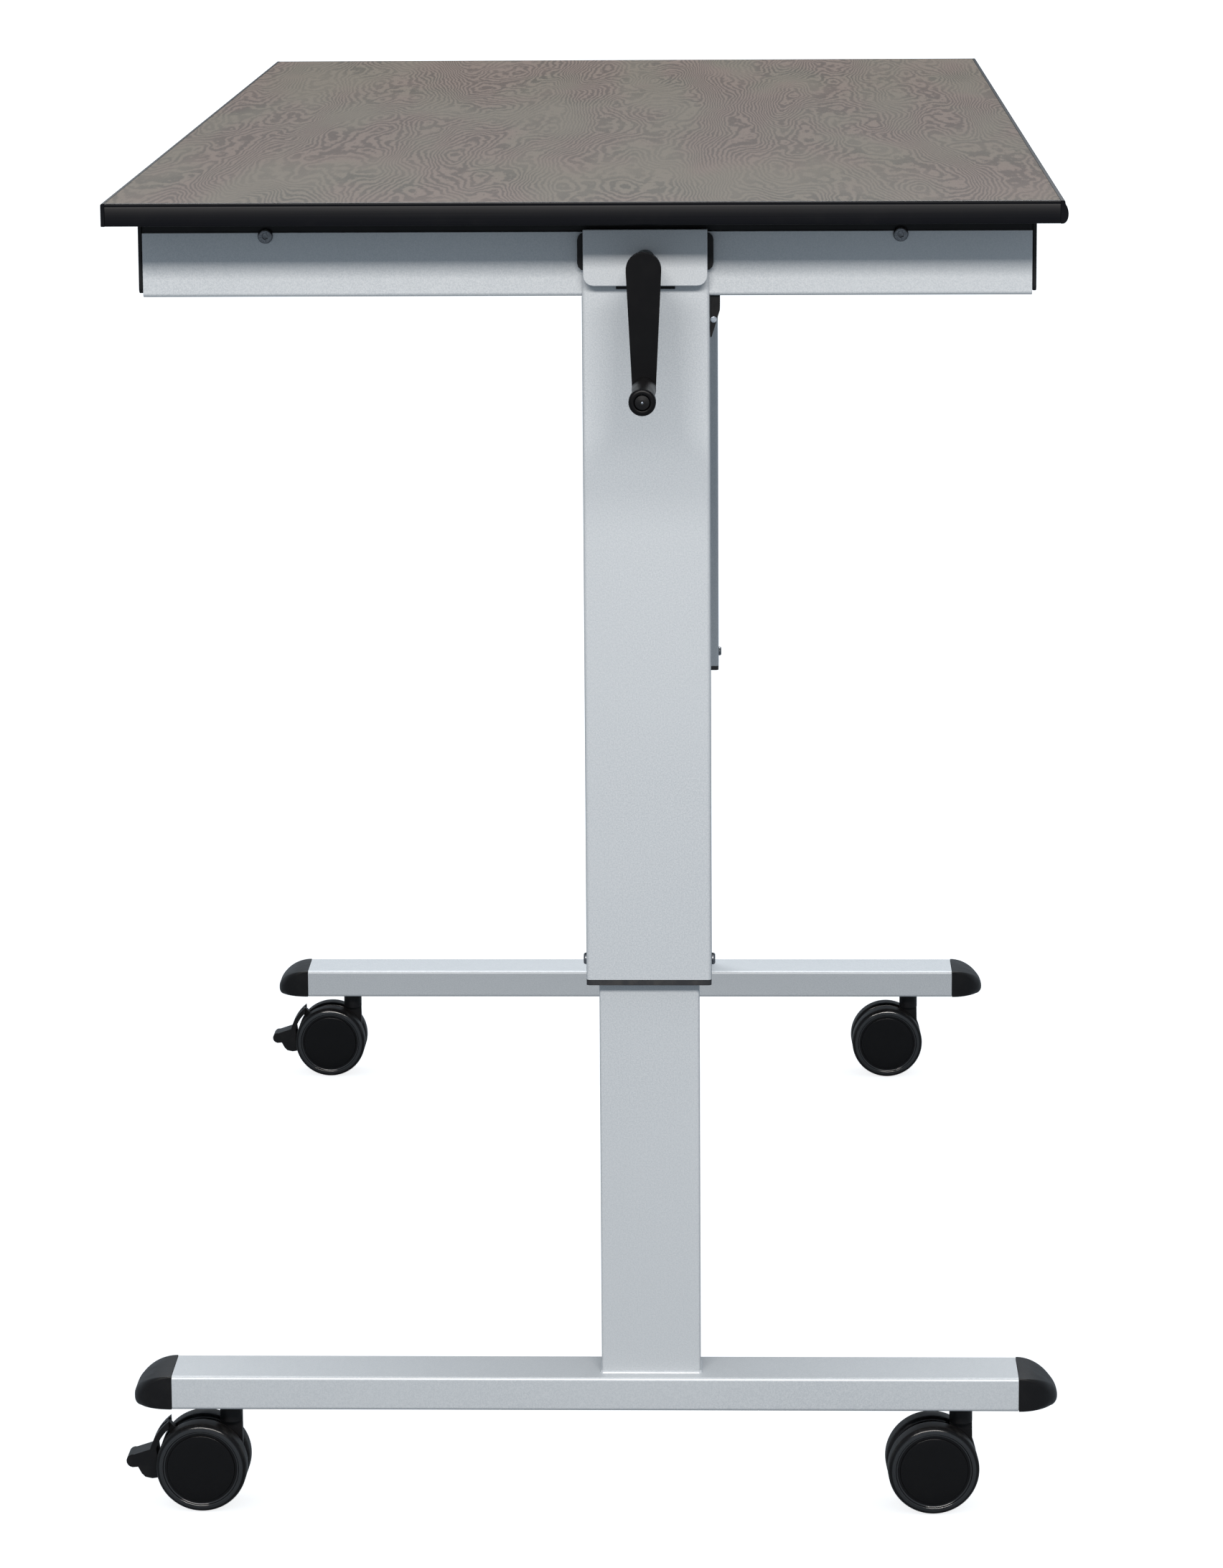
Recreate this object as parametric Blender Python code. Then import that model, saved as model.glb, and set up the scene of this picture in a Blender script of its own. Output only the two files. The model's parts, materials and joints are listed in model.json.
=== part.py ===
"""Height adjustable standing desk on casters, raised and lowered by a hand crank.

Metres, +Z up. X runs along the desk's long side, with the crank at +X. The user's side, with
the square edge and the two braked casters, is -Y. The origin is on the floor, at the middle
of the floor area that the whole desk covers.

The crank turns a hexagonal shaft under the tabletop. At each leg a pair of bevel gears turns
a vertical lead screw, whose nut is fixed in the top of the inner leg tube.
"""

import math

import bmesh
import bpy

# ---------------------------------------------------------------- driving dimensions

GAP = 0.0003                    # clearance left between pieces that touch

TOP_LENGTH = 1.499              # tabletop, edge bands included
TOP_DEPTH = 0.749
TOP_THICKNESS = 0.018
TOP_HEIGHT = 1.0895             # from the floor, as the desk stands
SQUARE_BAND = 0.003             # thickness of the bands on the front edge and both ends
ROUNDED_BAND = 0.006            # thickness of the band on the rear edge

LEG_SPREAD = 0.657              # from the desk's middle to each leg, along X
COLUMN_OFFSET = 0.0465          # the legs stand this far behind the tabletop's middle
STEEL_WALL = 0.002

ARM_WIDTH = 0.045               # channel under the top: size along X
ARM_HEIGHT = 0.0511
ARM_LENGTH = 0.702
ARM_TOP = 1.0591
ARM_CAP = 0.003
STRIP_TONGUE = 0.010            # how far the top strip reaches down into the channel
STRIP_CLEAR = 0.060             # the tongue stops this far from the column's middle

RAIL_SIZE = 0.030
RAIL_OFFSET = 0.200             # the two long rails lie this far each side of the middle
RAIL_HEIGHT = 1.0365

OUTER_WIDTH = 0.101             # outer leg tube: size along Y
OUTER_DEPTH = 0.050             # size along X
OUTER_BOTTOM = 0.453
OUTER_CORNER = 0.003
INNER_WIDTH = 0.081
INNER_DEPTH = 0.030
INNER_TOP = 0.6615
INNER_CORNER = 0.002
COLLAR_LIP = 0.0042             # visible height of the glide collar below the outer tube
COLLAR_SLEEVE = 0.030

FOOT_LENGTH = 0.694             # steel foot tube, without its caps
FOOT_DEPTH = 0.056
FOOT_BOTTOM = 0.090
FOOT_TOP = 0.1185
FOOT_CORNER = 0.003
FOOT_CAP = 0.033                # length of each plastic foot cap
CAP_FULLNESS = {"front": 3.2, "rear": 2.2}     # plan shape of the caps' noses: 2 is an ellipse

WHEEL_RADIUS = 0.0375
WHEEL_OUTER = 0.0232            # from the caster's middle to a wheel's outer face
WHEEL_INNER = 0.0042            # and to its inner face
AXLE_RADIUS = 0.003
CASTER_OFFSET = 0.301           # stems, each side of the foot's middle
CASTER_TRAIL = 0.0235
NECK_RADIUS = 0.0095
NECK_BOTTOM = 0.073
NECK_TOP = 0.0867
WEB_THICKNESS = 0.007
WEB_RADIUS = 0.0338
STEM_RADIUS = 0.004
COLLAR_RADIUS = 0.009           # over the corners of the stem's hexagon
LEVER_WIDTH = 0.020
LEVER_REACH = 0.0634            # from the axle to the tip of the brake tab
PIVOT_RADIUS = 0.0426           # brake pivot: distance from the axle
PIVOT_ANGLE = 134.0             # and direction from the axle, in degrees above +Y

SHAFT_HEIGHT = 1.038
SHAFT_RADIUS = 0.0055           # over the corners of the hexagon
GEAR_TEETH = 16
GEAR_PITCH_RADIUS = 0.0125
GEAR_ADDENDUM = 0.0011
GEAR_DEDENDUM = 0.0016
GEAR_BORE = 0.0035              # bore of the gears on the lead screws
SCREW_RADIUS = 0.008
SCREW_BOTTOM = 0.5615
NUT_FLANGE = 0.012
NUT_PLUG = 0.030

COVER_WIDTH = 0.098
COVER_BOTTOM = 1.0173
COVER_TOP = 1.0619
COVER_FACE = 0.035              # from the leg's middle to the cover's outer face
FLANGE_WIDTH = 0.1073
FLANGE_BOTTOM = 1.0287
FLANGE_THICKNESS = 0.003
TONGUE_WIDTH = 0.0465           # tongue of the bearing block, whose end shows under the cover
TONGUE_BOTTOM = 1.0139
HUB_RADIUS = 0.0081
CRANK_FACE = 0.106              # from the leg's middle to the crank arm's outer face
CRANK_THICKNESS = 0.007
CRANK_RADIUS = 0.0927           # from the shaft to the grip
CRANK_END_LARGE = 0.0138
CRANK_END_SMALL = 0.0092
GRIP_LENGTH = 0.0735
GRIP_RADIUS = 0.0105

# Rest headings of the casters, in degrees about +Z
CASTERS = {
    ("crank", "front"): -1.0,
    ("crank", "rear"): 2.5,
    ("far", "front"): -0.5,
    ("far", "rear"): 1.5,
}

# ---------------------------------------------------------------- derived dimensions

SIDES = {"crank": 1, "far": -1}
ENDS = {"front": -1, "rear": 1}

GRIP_START = CRANK_FACE + 0.0015
GRIP_END = LEG_SPREAD + GRIP_START + GRIP_LENGTH
LEVER_TIP = CASTER_OFFSET + CASTER_TRAIL + LEVER_REACH
FOOT_END = FOOT_LENGTH / 2 + FOOT_CAP
DESK_X = -(GRIP_END - TOP_LENGTH / 2) / 2      # middle of the tabletop, so that the whole
DESK_Y = (LEVER_TIP - FOOT_END) / 2            # desk is centred on the origin
COLUMN_Y = DESK_Y + COLUMN_OFFSET

TOP_UNDERSIDE = TOP_HEIGHT - TOP_THICKNESS
ARM_BOTTOM = ARM_TOP - ARM_HEIGHT
SHAFT_HOLE = SHAFT_RADIUS + 0.0025

ALONG_X = (math.radians(90), 0, math.radians(90))   # local X, Y, Z lie along Y, Z, X
ALONG_Y = (math.radians(90), 0, 0)                  # local X, Y, Z lie along X, Z, -Y


# ---------------------------------------------------------------- materials

def make_material(name, colour, roughness, metallic=0.0):
    material = bpy.data.materials.new(name)
    material.use_nodes = True
    shader = material.node_tree.nodes["Principled BSDF"]
    shader.inputs["Base Color"].default_value = (*colour, 1.0)
    shader.inputs["Roughness"].default_value = roughness
    shader.inputs["Metallic"].default_value = metallic
    material.diffuse_color = (*colour, 1.0)
    return material


def silver_paint():
    return make_material("silver_paint", (0.56, 0.59, 0.62), 0.42, 0.2)


def zinc_steel():
    return make_material("zinc_steel", (0.62, 0.63, 0.64), 0.3, 1.0)


def bright_steel():
    return make_material("bright_steel", (0.5, 0.5, 0.5), 0.35, 1.0)


def black_plastic():
    return make_material("black_plastic", (0.012, 0.012, 0.014), 0.42)


def glossy_black_plastic():
    return make_material("glossy_black_plastic", (0.010, 0.010, 0.011), 0.28)


def black_edge():
    return make_material("black_edge", (0.013, 0.013, 0.016), 0.38)


def wood_laminate():
    return make_material("wood_laminate", (0.205, 0.178, 0.158), 0.5)


def nylon():
    return make_material("nylon", (0.03, 0.03, 0.03), 0.6)


# ---------------------------------------------------------------- outlines

def arc(centre, radius, start, end, steps):
    """Points on an arc, angles in degrees. A pair as radius gives an elliptical arc."""
    across, up = radius if isinstance(radius, tuple) else (radius, radius)
    angles = [math.radians(start + (end - start) * i / steps) for i in range(steps + 1)]
    return [(centre[0] + across * math.cos(a), centre[1] + up * math.sin(a)) for a in angles]


def rounded_rectangle(width, height, radius, steps=3):
    """Outline centred on the origin, counter-clockwise from the lower right corner."""
    x = width / 2 - radius
    y = height / 2 - radius
    outline = arc((x, -y), radius, -90, 0, steps)
    outline += arc((x, y), radius, 0, 90, steps)
    outline += arc((-x, y), radius, 90, 180, steps)
    outline += arc((-x, -y), radius, 180, 270, steps)
    return outline


def polar(radius, angle):
    turn = math.radians(angle)
    return (radius * math.cos(turn), radius * math.sin(turn))


def shifted(points, across, up):
    return [(x + across, y + up) for x, y in points]


# ---------------------------------------------------------------- mesh building

def clear_scene():
    for item in list(bpy.data.objects):
        bpy.data.objects.remove(item, do_unlink=True)


def loft(rings, closed=False):
    """Mesh through rings of equally many points. Closed joins the last ring to the first."""
    mesh = bpy.data.meshes.new("loft")
    work = bmesh.new()
    loops = [[work.verts.new(point) for point in ring] for ring in rings]
    pairs = list(zip(loops, loops[1:]))
    if closed:
        pairs.append((loops[-1], loops[0]))
    else:
        work.faces.new(loops[0])
        work.faces.new(loops[-1])
    for lower, upper in pairs:
        count = len(lower)
        for i in range(count):
            j = (i + 1) % count
            work.faces.new((lower[i], lower[j], upper[j], upper[i]))
    bmesh.ops.recalc_face_normals(work, faces=work.faces)
    work.to_mesh(mesh)
    work.free()
    return mesh


def prism(outline, depth):
    """Outline in the local XY plane, extruded to both sides along local Z."""
    rings = [[(x, y, z) for x, y in outline] for z in (-depth / 2, depth / 2)]
    return loft(rings)


def box(width, depth, height):
    x = width / 2
    y = depth / 2
    return prism([(-x, -y), (x, -y), (x, y), (-x, y)], height)


def tube(outer, inner, length):
    """Hollow bar along local Z between two outlines of equally many points."""
    low, high = -length / 2, length / 2
    rings = [
        [(x, y, low) for x, y in outer],
        [(x, y, high) for x, y in outer],
        [(x, y, high) for x, y in inner],
        [(x, y, low) for x, y in inner],
    ]
    return loft(rings, closed=True)


def turned(profile, steps=32, closed=False):
    """Round shape about local Z. The profile is (radius, height) pairs, all radii above 0."""
    rings = []
    for radius, height in profile:
        circle = arc((0, 0), radius, 0, 360, steps)[:-1]
        rings.append([(x, y, height) for x, y in circle])
    return loft(rings, closed)


def cylinder(radius, length, steps=24):
    return turned([(radius, -length / 2), (radius, length / 2)], steps)


def place(name, mesh, material, location=(0, 0, 0), rotation=(0, 0, 0), parent=None):
    mesh.name = name
    mesh.materials.clear()
    mesh.materials.append(material)
    mesh.shade_smooth()
    mesh.set_sharp_from_angle(angle=math.radians(32))
    item = bpy.data.objects.new(name, mesh)
    bpy.context.scene.collection.objects.link(item)
    item.location = location
    item.rotation_euler = rotation
    item.parent = parent
    return item


def place_empty(name, location, heading=0.0):
    empty = bpy.data.objects.new(name, None)
    bpy.context.scene.collection.objects.link(empty)
    empty.location = location
    empty.rotation_euler = (0, 0, math.radians(heading))
    return empty


def combine(item, operation, mesh, location, rotation=(0, 0, 0)):
    """Cut a mesh out of an object, or join it on, in the object's parent space."""
    tool = bpy.data.objects.new("tool", mesh)
    bpy.context.scene.collection.objects.link(tool)
    tool.location = location
    tool.rotation_euler = rotation
    tool.parent = item.parent
    modifier = item.modifiers.new("combine", "BOOLEAN")
    modifier.operation = operation
    modifier.solver = "EXACT"
    modifier.object = tool
    bpy.context.view_layer.update()
    evaluated = item.evaluated_get(bpy.context.evaluated_depsgraph_get())
    result = bpy.data.meshes.new_from_object(evaluated)
    name = item.data.name
    item.modifiers.clear()
    item.data = result
    result.name = name
    bpy.data.objects.remove(tool, do_unlink=True)


def cut(item, mesh, location, rotation=(0, 0, 0)):
    combine(item, "DIFFERENCE", mesh, location, rotation)


def join(item, mesh, location, rotation=(0, 0, 0)):
    combine(item, "UNION", mesh, location, rotation)


# ---------------------------------------------------------------- tabletop

def build_tabletop():
    wood = wood_laminate()
    edge = black_edge()
    board_length = TOP_LENGTH - 2 * (SQUARE_BAND + GAP)
    board_depth = TOP_DEPTH - SQUARE_BAND - ROUNDED_BAND - 2 * GAP
    board_y = DESK_Y + (SQUARE_BAND - ROUNDED_BAND) / 2
    middle = TOP_HEIGHT - TOP_THICKNESS / 2
    place("tabletop_board", box(board_length, board_depth, TOP_THICKNESS), wood, (DESK_X, board_y, middle))

    front = rounded_rectangle(SQUARE_BAND, TOP_THICKNESS, 0.0008, 2)
    front_y = DESK_Y - TOP_DEPTH / 2 + SQUARE_BAND / 2
    place("edge_band_front", prism(front, TOP_LENGTH), edge, (DESK_X, front_y, middle), ALONG_X)

    half = TOP_THICKNESS / 2
    rear = [(0, half), (0, -half)]
    rear += arc((ROUNDED_BAND - 0.005, -half + 0.005), 0.005, -90, 0, 5)
    rear += arc((ROUNDED_BAND - 0.002, half - 0.002), 0.002, 0, 90, 3)
    rear_y = DESK_Y + TOP_DEPTH / 2 - ROUNDED_BAND
    place("edge_band_rear", prism(rear, TOP_LENGTH), edge, (DESK_X, rear_y, middle), ALONG_X)

    end_outline = rounded_rectangle(SQUARE_BAND, TOP_THICKNESS, 0.0012, 2)
    for side, sign in SIDES.items():
        end_x = DESK_X + sign * (TOP_LENGTH - SQUARE_BAND) / 2
        place("edge_band_" + side, prism(end_outline, board_depth), edge, (end_x, board_y, middle), ALONG_Y)


# ---------------------------------------------------------------- top frame

def channel_outline():
    """Folded steel channel, open upwards, with rounded folds at the bottom."""
    x = ARM_WIDTH / 2
    y = ARM_HEIGHT / 2
    fold = 0.003
    outline = [(-x, y)]
    outline += arc((-x + fold, -y + fold), fold, 180, 270, 3)
    outline += arc((x - fold, -y + fold), fold, 270, 360, 3)
    outline += [(x, y), (x - STEEL_WALL, y), (x - STEEL_WALL, -y + STEEL_WALL)]
    outline += [(-x + STEEL_WALL, -y + STEEL_WALL), (-x + STEEL_WALL, y)]
    return outline


def build_arm(side, leg_x):
    """Channel across the top of one leg, with its strip and end caps."""
    middle = (leg_x, DESK_Y, ARM_TOP - ARM_HEIGHT / 2)
    arm = place("arm_" + side, prism(channel_outline(), ARM_LENGTH), silver_paint(), middle, ALONG_Y)
    cut(arm, cylinder(SHAFT_HOLE, ARM_WIDTH + 0.01), (leg_x, COLUMN_Y, SHAFT_HEIGHT), ALONG_X)
    cut(arm, cylinder(SCREW_RADIUS + GAP, 0.02, 20), (leg_x, COLUMN_Y, ARM_BOTTOM))

    low = ARM_TOP - STRIP_TONGUE
    bridge = ARM_TOP + GAP
    high = TOP_UNDERSIDE - GAP
    end = ARM_LENGTH / 2
    near = COLUMN_OFFSET - STRIP_CLEAR
    far = COLUMN_OFFSET + STRIP_CLEAR
    outline = [(-end, low), (near, low), (near, bridge), (far, bridge), (far, low), (end, low)]
    outline += [(end, high), (-end, high)]
    strip_width = ARM_WIDTH - 2 * STEEL_WALL - 2 * GAP
    place("arm_strip_" + side, prism(outline, strip_width), black_plastic(), (leg_x, DESK_Y, 0), ALONG_X)

    cap_height = high - ARM_BOTTOM - 0.003
    cap_outline = rounded_rectangle(ARM_WIDTH, cap_height, 0.004)
    for end_name, sign in ENDS.items():
        name = "arm_cap_" + side + "_" + end_name
        cap_y = DESK_Y + sign * (ARM_LENGTH / 2 + GAP + ARM_CAP / 2)
        location = (leg_x, cap_y, high - cap_height / 2)
        place(name, prism(cap_outline, ARM_CAP), black_plastic(), location, ALONG_Y)


def build_rails():
    """Two long square tubes that hold the arms apart."""
    outer = rounded_rectangle(RAIL_SIZE, RAIL_SIZE, 0.003)
    inner = rounded_rectangle(RAIL_SIZE - 2 * STEEL_WALL, RAIL_SIZE - 2 * STEEL_WALL, 0.001)
    length = 2 * (LEG_SPREAD - ARM_WIDTH / 2 - GAP)
    for end_name, sign in ENDS.items():
        location = (DESK_X, DESK_Y + sign * RAIL_OFFSET, RAIL_HEIGHT)
        place("rail_" + end_name, tube(outer, inner, length), silver_paint(), location, ALONG_X)


def build_gusset(side, leg_x):
    """Small plate in the corner between the arm's underside and the column's rear face."""
    reach = 0.0078
    outline = [(0, 0), (reach, 0), (reach, -0.0115), (0.0012, -0.033), (0, -0.033)]
    location = (leg_x, COLUMN_Y + OUTER_WIDTH / 2 + GAP, ARM_BOTTOM - GAP)
    place("gusset_" + side, prism(outline, 0.036), black_plastic(), location, ALONG_X)


# ---------------------------------------------------------------- columns

def build_outer_tube(side, leg_x):
    outer = rounded_rectangle(OUTER_DEPTH, OUTER_WIDTH, OUTER_CORNER)
    inner_size = (OUTER_DEPTH - 2 * STEEL_WALL, OUTER_WIDTH - 2 * STEEL_WALL)
    inner = rounded_rectangle(*inner_size, OUTER_CORNER - STEEL_WALL)
    length = ARM_TOP - OUTER_BOTTOM
    middle = (leg_x, COLUMN_Y, OUTER_BOTTOM + length / 2)
    column = place("outer_tube_" + side, tube(outer, inner, length), silver_paint(), middle)
    saddle = box(ARM_WIDTH + 2 * GAP, OUTER_WIDTH + 0.02, 2 * (ARM_HEIGHT + GAP))
    cut(column, saddle, (leg_x, COLUMN_Y, ARM_TOP))
    cut(column, cylinder(SHAFT_HOLE + 0.003, OUTER_DEPTH + 0.01), (leg_x, COLUMN_Y, SHAFT_HEIGHT), ALONG_X)


def build_glide_collar(side, leg_x):
    """Plastic collar in the mouth of the outer tube, with a lip that shows below it."""
    lip = rounded_rectangle(OUTER_DEPTH, OUTER_WIDTH, OUTER_CORNER)
    fit = 2 * (STEEL_WALL + GAP)
    sleeve = rounded_rectangle(OUTER_DEPTH - fit, OUTER_WIDTH - fit, 0.001)
    bore = rounded_rectangle(INNER_DEPTH + 2 * GAP, INNER_WIDTH + 2 * GAP, INNER_CORNER)
    top = OUTER_BOTTOM - GAP
    levels = [
        (lip, top - COLLAR_LIP), (lip, top), (sleeve, top), (sleeve, top + COLLAR_SLEEVE),
        (bore, top + COLLAR_SLEEVE), (bore, top - COLLAR_LIP),
    ]
    rings = [[(x, y, z) for x, y in outline] for outline, z in levels]
    place("glide_collar_" + side, loft(rings, closed=True), nylon(), (leg_x, COLUMN_Y, 0))


def build_inner_tube(side, leg_x):
    outer = rounded_rectangle(INNER_DEPTH, INNER_WIDTH, INNER_CORNER)
    inner = rounded_rectangle(INNER_DEPTH - 2 * STEEL_WALL, INNER_WIDTH - 2 * STEEL_WALL, 0.0005)
    bottom = FOOT_TOP + GAP
    middle = (leg_x, COLUMN_Y, (bottom + INNER_TOP) / 2)
    place("inner_tube_" + side, tube(outer, inner, INNER_TOP - bottom), silver_paint(), middle)


def build_screw_nut(side, leg_x):
    """Nut block in the top of the inner tube. Its flange also guides the outer tube."""
    fit = 2 * (STEEL_WALL + GAP)
    flange = rounded_rectangle(OUTER_DEPTH - fit, OUTER_WIDTH - fit, 0.001)
    plug = rounded_rectangle(INNER_DEPTH - fit, INNER_WIDTH - fit, 0.0005)
    base = INNER_TOP + GAP
    levels = [(plug, base - NUT_PLUG), (plug, base), (flange, base), (flange, base + NUT_FLANGE)]
    rings = [[(x, y, z) for x, y in outline] for outline, z in levels]
    nut = place("screw_nut_" + side, loft(rings), nylon(), (leg_x, COLUMN_Y, 0))
    cut(nut, cylinder(SCREW_RADIUS + GAP, 0.12, 20), (leg_x, COLUMN_Y, base))


# ---------------------------------------------------------------- crank drive

def bevel_gear(bore_radius, first_gap):
    """Mitre gear about local Z, with its pitch cone's apex at the origin and its face below.

    Every section is the same outline scaled towards the apex. The first gap or the first
    tooth is centred on local +X.
    """
    pitch = GEAR_PITCH_RADIUS
    rise = GEAR_ADDENDUM * math.sqrt(0.5)
    fall = GEAR_DEDENDUM * math.sqrt(0.5)
    tip = (pitch + rise, -(pitch - rise))
    root = (pitch - fall, -(pitch + fall))
    spacing = 360 / GEAR_TEETH
    corners = ((-0.24, root), (-0.12, tip), (0.12, tip), (0.24, root))
    outline = []
    for tooth in range(GEAR_TEETH):
        middle = spacing * (tooth + (0.5 if first_gap else 0.0))
        for share, (radius, height) in corners:
            x, y = polar(radius, middle + share * spacing)
            outline.append((x, y, height))
    inner_scale = 0.7
    small = [(x * inner_scale, y * inner_scale, z * inner_scale) for x, y, z in outline]
    bore = []
    for x, y, _ in outline:
        angle = math.atan2(y, x)
        bore.append((bore_radius * math.cos(angle), bore_radius * math.sin(angle)))
    back = -(pitch + GEAR_DEDENDUM)
    face = -pitch * inner_scale - 0.0006
    rings = [outline, small]
    rings.append([(x, y, face) for x, y in bore])
    rings.append([(x, y, back) for x, y in bore])
    return loft(rings, closed=True)


def build_lead_screw(side, leg_x):
    shoulder = SHAFT_HEIGHT - GEAR_PITCH_RADIUS - GEAR_DEDENDUM - GAP
    spigot = GEAR_BORE - GAP
    profile = [(SCREW_RADIUS, SCREW_BOTTOM), (SCREW_RADIUS, shoulder), (spigot, shoulder)]
    profile.append((spigot, shoulder + 0.004))
    place("lead_screw_" + side, turned(profile, 20), bright_steel(), (leg_x, COLUMN_Y, 0))


def build_gears(side, leg_x):
    """The driven gear sits on the lead screw, the driving gear on the shaft at its +X side."""
    apex = (leg_x, COLUMN_Y, SHAFT_HEIGHT)
    place("screw_gear_" + side, bevel_gear(GEAR_BORE, False), bright_steel(), apex)
    turn = (0, math.radians(-90), 0)
    place("shaft_gear_" + side, bevel_gear(SHAFT_RADIUS + GAP, True), bright_steel(), apex, turn)


def build_shaft():
    """Hexagonal shaft from the far leg's gear to the crank's hub."""
    start = DESK_X - LEG_SPREAD + 0.0086
    end = DESK_X + LEG_SPREAD + CRANK_FACE - 0.012
    middle = ((start + end) / 2, COLUMN_Y, SHAFT_HEIGHT)
    place("drive_shaft", cylinder(SHAFT_RADIUS, end - start, 6), bright_steel(), middle, ALONG_X)


def build_bearing(side, leg_x, sign):
    """Bearing block: a flange on the column's outer face and a boss that carries the shaft."""
    start = OUTER_DEPTH / 2 + GAP
    height = ARM_TOP - FLANGE_BOTTOM
    outline = rounded_rectangle(FLANGE_WIDTH, height, 0.006)
    middle = start + FLANGE_THICKNESS / 2
    location = (leg_x + sign * middle, COLUMN_Y, FLANGE_BOTTOM + height / 2)
    flange = prism(outline, FLANGE_THICKNESS)
    block = place("shaft_bearing_" + side, flange, black_plastic(), location, ALONG_X)
    tongue_height = FLANGE_BOTTOM + 0.004 - TONGUE_BOTTOM
    tongue_x = leg_x + sign * (start + 0.0005)
    tongue = box(TONGUE_WIDTH, tongue_height, 0.001)
    join(block, tongue, (tongue_x, COLUMN_Y, TONGUE_BOTTOM + tongue_height / 2), ALONG_X)
    boss_length = 0.006
    boss_x = leg_x + sign * (start - boss_length / 2 + 0.001)
    boss = cylinder(SHAFT_HOLE - GAP, boss_length)
    join(block, boss, (boss_x, COLUMN_Y, SHAFT_HEIGHT), ALONG_X)
    cut(block, cylinder(SHAFT_RADIUS + GAP, 0.06), (leg_x + sign * middle, COLUMN_Y, SHAFT_HEIGHT), ALONG_X)


def build_head_cover(side, leg_x, sign):
    """Shallow pressed cover over the bearing block."""
    back = OUTER_DEPTH / 2 + FLANGE_THICKNESS + 2 * GAP
    depth = COVER_FACE - back
    height = COVER_TOP - COVER_BOTTOM
    skin = 0.0015
    corner = 0.008
    x = COVER_WIDTH / 2
    y = height / 2
    outline = arc((-x + corner, -y + corner), corner, 180, 270, 4)
    outline += arc((x - corner, -y + corner), corner, 270, 360, 4)
    outline += [(x, y), (-x, y)]
    middle = (leg_x + sign * (back + depth / 2), COLUMN_Y, COVER_BOTTOM + height / 2)
    cover = place("head_cover_" + side, prism(outline, depth), silver_paint(), middle, ALONG_X)
    hollow = rounded_rectangle(COVER_WIDTH - 2 * skin, height - 2 * skin, 0.006)
    hollow_x = leg_x + sign * (COVER_FACE - skin - depth)
    cut(cover, prism(hollow, 2 * depth), (hollow_x, COLUMN_Y, middle[2]), ALONG_X)
    if side == "crank":
        cut(cover, cylinder(HUB_RADIUS - 0.001, 0.05), (middle[0], COLUMN_Y, SHAFT_HEIGHT), ALONG_X)


def build_crank(leg_x):
    """Bush in the cover, crank arm with its hub, and the turning grip on its bolt."""
    bush_profile = [
        (HUB_RADIUS, COVER_FACE + GAP), (HUB_RADIUS, COVER_FACE + 0.003),
        (SHAFT_RADIUS + GAP, COVER_FACE + 0.003),
        (SHAFT_RADIUS + GAP, COVER_FACE - 0.005), (HUB_RADIUS - 0.0013, COVER_FACE - 0.005),
        (HUB_RADIUS - 0.0013, COVER_FACE + GAP),
    ]
    shaft_axis = (leg_x, COLUMN_Y, SHAFT_HEIGHT)
    place("crank_bush", turned(bush_profile, 24, closed=True), black_plastic(), shaft_axis, ALONG_X)

    large = arc((0, 0), CRANK_END_LARGE, -4, 184, 16)
    small = arc((0, -CRANK_RADIUS), CRANK_END_SMALL, 184, 356, 12)
    outline = large + small
    arm_middle = leg_x + CRANK_FACE - CRANK_THICKNESS / 2
    arm = prism(outline, CRANK_THICKNESS)
    crank = place("crank_arm", arm, black_plastic(), (arm_middle, COLUMN_Y, SHAFT_HEIGHT), ALONG_X)
    hub_start = COVER_FACE + 0.0035
    hub_end = CRANK_FACE - 0.003
    hub_middle = leg_x + (hub_start + hub_end) / 2
    join(crank, cylinder(HUB_RADIUS, hub_end - hub_start), (hub_middle, COLUMN_Y, SHAFT_HEIGHT), ALONG_X)
    socket_length = CRANK_FACE - 0.010 - hub_start
    socket_x = leg_x + hub_start + (socket_length - 0.01) / 2
    socket = cylinder(SHAFT_RADIUS + GAP, socket_length + 0.01)
    cut(crank, socket, (socket_x, COLUMN_Y, SHAFT_HEIGHT), ALONG_X)
    grip_height = SHAFT_HEIGHT - CRANK_RADIUS
    cut(crank, cylinder(0.0043, 0.03), (arm_middle, COLUMN_Y, grip_height), ALONG_X)

    build_grip(leg_x, grip_height)


def build_grip(leg_x, grip_height):
    bore = 0.0043
    end = GRIP_LENGTH
    radius = GRIP_RADIUS
    profile = [(bore, 0), (radius - 0.001, 0), (radius - 0.0002, 0.003)]
    profile += [(radius - 0.0012, end * 0.3), (radius - 0.0010, end * 0.7), (radius, end - 0.006)]
    profile += [(radius - 0.0008, end - 0.0015), (radius - 0.0025, end)]
    profile += [(radius - 0.0035, end), (radius - 0.0040, end - 0.0035), (bore, end - 0.0035)]
    origin = (leg_x + GRIP_START, COLUMN_Y, grip_height)
    place("crank_grip", turned(profile, 28, closed=True), black_plastic(), origin, ALONG_X)

    head = 0.0055
    shank = bore - GAP
    length = GRIP_LENGTH - 0.0035 + GAP
    bolt_profile = [(shank, -0.008), (shank, length), (head, length), (head, length + 0.002)]
    bolt_profile.append((0.002, length + 0.0026))
    place("grip_bolt", turned(bolt_profile, 20), zinc_steel(), origin, ALONG_X)


# ---------------------------------------------------------------- feet

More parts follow.
